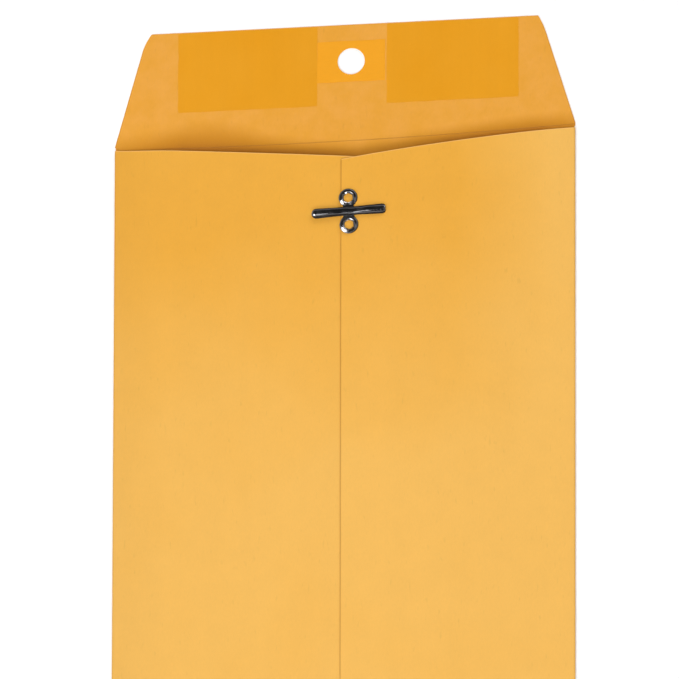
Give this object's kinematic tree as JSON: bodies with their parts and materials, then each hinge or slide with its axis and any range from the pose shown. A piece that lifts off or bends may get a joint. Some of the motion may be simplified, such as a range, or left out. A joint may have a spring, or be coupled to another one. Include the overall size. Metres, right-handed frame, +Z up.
{
  "type": "clasp envelope",
  "caption": "Flat kraft clasp envelope, open at a shallow V-cut mouth, with a gummed closure flap, a punched reinforced hole and a metal clasp with fold-down prongs.",
  "frame": {"origin": "centre of the address face, on the surface that the envelope lies on", "axes": "+X to the right, +Y along the envelope from its bottom fold towards the closure flap, +Z up, out of the clasp side"},
  "size_m": [0.2286, 0.3619, 0.0046],
  "materials": {
    "kraft_paper": "uncoated golden brown kraft, 120 g/m2",
    "patch_paper": "smooth deep golden kraft",
    "dried_gum": "dried remoistening gum on kraft, faintly glossy",
    "glue": "dried adhesive, hidden in the laps",
    "clasp_metal": "bright tinned sheet steel"
  },
  "bodies": {
    "root": {"front_panel": "kraft_paper", "left_side_panel": "kraft_paper", "right_side_panel": "kraft_paper", "seam_glue_line": "glue", "bottom_flap": "kraft_paper", "bottom_glue_line": "glue", "clasp_backing_patch": "patch_paper", "clasp_plate": "clasp_metal"},
    "flap": {"closure_flap": "kraft_paper", "gum_patch_left": "dried_gum", "gum_patch_right": "dried_gum", "hole_reinforcement_patch": "patch_paper"},
    "prong_left": {"clasp_prong_left": "clasp_metal"},
    "prong_right": {"clasp_prong_right": "clasp_metal"}
  },
  "joints": [
    {"name": "flap_fold", "type": "hinge", "parent": "root", "child": "flap", "pos_m": [0, 0.1524, 0.0004], "axis": [1, 0, 0], "range_deg": [0, 165]},
    {"name": "prong_left_bend", "type": "hinge", "parent": "root", "child": "prong_left", "pos_m": [0.00035, 0.11242, 0.00373], "axis": [-0.0297, 0.9996, 0], "range_deg": [0, 90]},
    {"name": "prong_right_bend", "type": "hinge", "parent": "root", "child": "prong_right", "pos_m": [0.00585, 0.11258, 0.00373], "axis": [0.0297, -0.9996, 0], "range_deg": [0, 90]}
  ]
}
